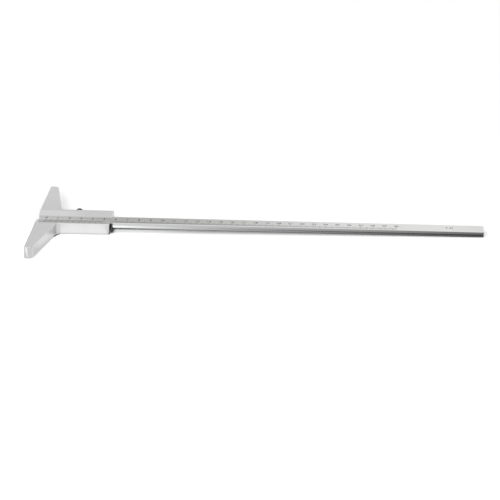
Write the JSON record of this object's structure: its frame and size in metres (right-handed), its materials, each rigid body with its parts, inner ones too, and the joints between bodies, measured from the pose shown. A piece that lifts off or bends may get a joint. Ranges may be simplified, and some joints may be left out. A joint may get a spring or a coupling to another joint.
{
  "type": "depth gauge",
  "caption": "Vernier depth gauge: a sliding numbered beam in a T-shaped measuring base, locked by a knurled thumb screw.",
  "frame": {"origin": "the point where the measuring plane, the centre line of the base and the plane of the back meet", "axes": "+X along the beam from the measuring plane to the beam's free end; +Y across the base to the clamp screw's side; +Z out of the scale face, so the gauge lies on its back"},
  "size_m": [0.382, 0.15, 0.0096],
  "materials": {
    "satin_chrome": "satin chrome",
    "ground_steel": "satin scale face, ground edges",
    "scale_chrome": "matt chrome",
    "bright_steel": "bright",
    "spring_steel": "blued",
    "brass": "turned",
    "black_oxide": "black oxide"
  },
  "bodies": {
    "slider_frame": {"t_frame": "satin_chrome", "vernier_plate": "scale_chrome", "vernier_screws": "bright_steel", "leaf_spring": "spring_steel"},
    "scale_beam": {"beam": "ground_steel"},
    "thrust_pad": {"clamp_pad": "brass"},
    "thumb_screw": {"clamp_screw": "black_oxide"}
  },
  "joints": [
    {"name": "beam_slide", "type": "slide", "parent": "slider_frame", "child": "scale_beam", "axis": [-1, 0, 0], "range_m": [0, 0.3]},
    {"name": "clamp_advance", "type": "slide", "parent": "slider_frame", "child": "thrust_pad", "axis": [0, 1, 0], "range_m": [0, 0.00105]},
    {"name": "clamp_turn", "type": "hinge", "parent": "thrust_pad", "child": "thumb_screw", "pos_m": [0.0332, 0, 0.0061], "axis": [0, 1, 0], "range_deg": [0, 541]}
  ],
  "couplings": [
    {"joint": "clamp_turn", "follows": "clamp_advance", "rad_per_m": 8976}
  ]
}
